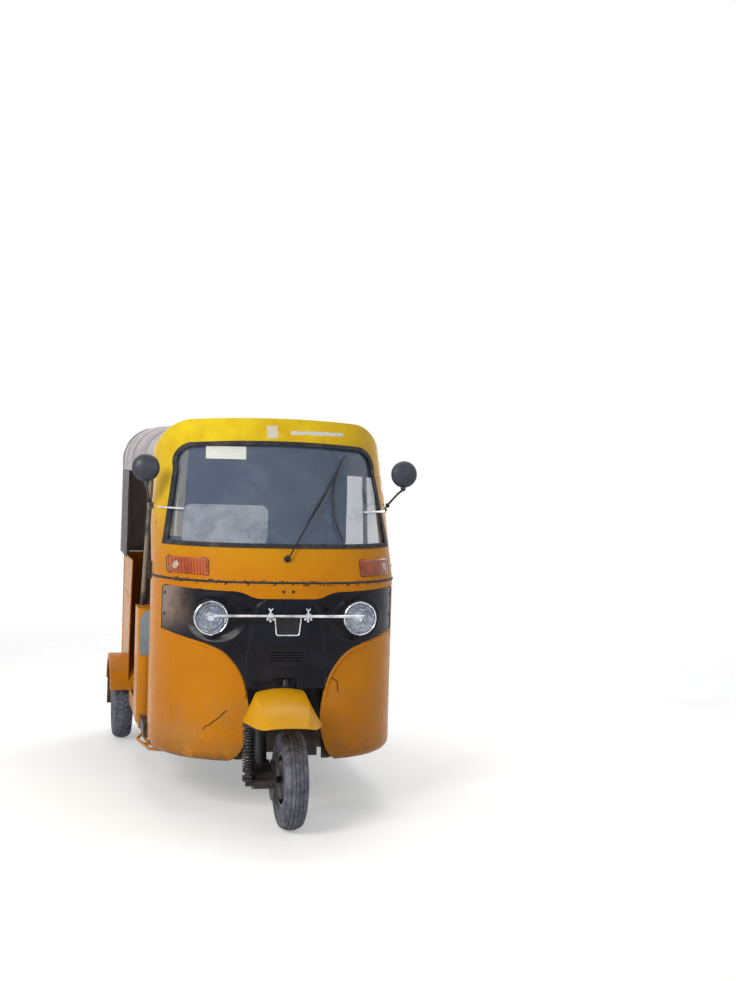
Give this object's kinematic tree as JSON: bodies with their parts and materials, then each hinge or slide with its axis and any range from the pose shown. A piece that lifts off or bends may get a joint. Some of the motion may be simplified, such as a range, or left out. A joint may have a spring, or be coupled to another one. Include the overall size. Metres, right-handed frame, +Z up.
{
  "type": "auto rickshaw",
  "caption": "Three-wheeled passenger rickshaw with a rounded steel cab front, raked screen, soft hood, side doorways and a rear engine lid.",
  "frame": {"origin": "on the ground, centred between the sides and between the front and rear ends", "axes": "+Z up, +Y towards the rear, so the front faces -Y, +X towards the vehicle's own left side"},
  "size_m": [1.3, 2.635, 1.7049],
  "materials": {
    "body_paint": "gloss",
    "mudguard_paint": "gloss",
    "black_paint": "satin",
    "wheel_paint": "satin",
    "fascia_plastic": "gloss",
    "dark_plastic": "matte",
    "amber_lens": "gloss",
    "red_lens": "gloss",
    "pale_plate": "satin",
    "bright_metal": "polished",
    "lamp_reflector": "polished",
    "lamp_glass": "clear",
    "screen_glass": "clear",
    "clear_sheet": "clear",
    "mirror": "polished",
    "seal_rubber": "matte",
    "grip_rubber": "matte",
    "tyre": "matte",
    "steel": "satin",
    "cast_alloy": "matte",
    "seat_cover": "satin",
    "hood_fabric": "satin"
  },
  "bodies": {
    "body": {"front_cowl": "body_paint", "front_fascia": "fascia_plastic", "headlamp_bowls": "lamp_reflector", "headlamp_lenses": "lamp_glass", "lamp_bar": "bright_metal", "emblem_frame": "bright_metal", "front_indicators": "amber_lens", "screen_frame": "body_paint", "screen_seal": "seal_rubber", "windscreen": "screen_glass", "wiper": "dark_plastic", "mirrors": "dark_plastic", "mirror_glass": "mirror", "wheel_arch": "black_paint", "steering_head": "black_paint", "floor_pan": "black_paint", "dashboard": "dark_plastic", "chassis": "black_paint", "driver_seat_box": "body_paint", "partition": "body_paint", "side_plates": "pale_plate", "driver_cushion": "seat_cover", "driver_backrest": "seat_cover", "passenger_base": "body_paint", "passenger_cushion": "seat_cover", "passenger_backrest": "seat_cover", "rear_left_quarter": "body_paint", "rear_right_quarter": "body_paint", "rear_panel": "body_paint", "lid_hinges": "steel", "tail_lamps": "red_lens", "rear_bumper": "black_paint", "engine": "cast_alloy", "exhaust": "steel", "rear_arms": "black_paint", "drive_shafts": "steel", "hood_frame": "pale_plate", "hood_canopy": "hood_fabric", "rear_window": "clear_sheet", "seam_brackets": "dark_plastic", "foot_steps": "body_paint"},
    "steering": {"steering_fork": "black_paint", "front_link": "black_paint", "front_spring": "steel", "front_damper": "black_paint", "front_mudguard": "mudguard_paint", "handlebar": "steel", "handle_grips": "grip_rubber"},
    "front_wheel": {"front_tyre": "tyre", "front_rim": "wheel_paint"},
    "rear_left_wheel": {"rear_left_tyre": "tyre", "rear_left_rim": "wheel_paint"},
    "rear_right_wheel": {"rear_right_tyre": "tyre", "rear_right_rim": "wheel_paint"},
    "engine_lid": {"engine_lid": "body_paint"}
  },
  "joints": [
    {"name": "steering_turn", "type": "hinge", "parent": "body", "child": "steering", "pos_m": [0, -1.019, 0.205], "axis": [0, 0.342, 0.9397], "range_deg": [-42, 42]},
    {"name": "front_wheel_spin", "type": "hinge", "parent": "steering", "child": "front_wheel", "pos_m": [0, -1.055, 0.205], "axis": [1, 0, 0], "continuous": true},
    {"name": "rear_left_wheel_spin", "type": "hinge", "parent": "body", "child": "rear_left_wheel", "pos_m": [0.575, 0.945, 0.205], "axis": [1, 0, 0], "continuous": true},
    {"name": "rear_right_wheel_spin", "type": "hinge", "parent": "body", "child": "rear_right_wheel", "pos_m": [-0.575, 0.945, 0.205], "axis": [1, 0, 0], "continuous": true},
    {"name": "engine_lid_hinge", "type": "hinge", "parent": "body", "child": "engine_lid", "pos_m": [0, 1.293, 0.613], "axis": [1, 0, 0], "range_deg": [0, 80]}
  ]
}
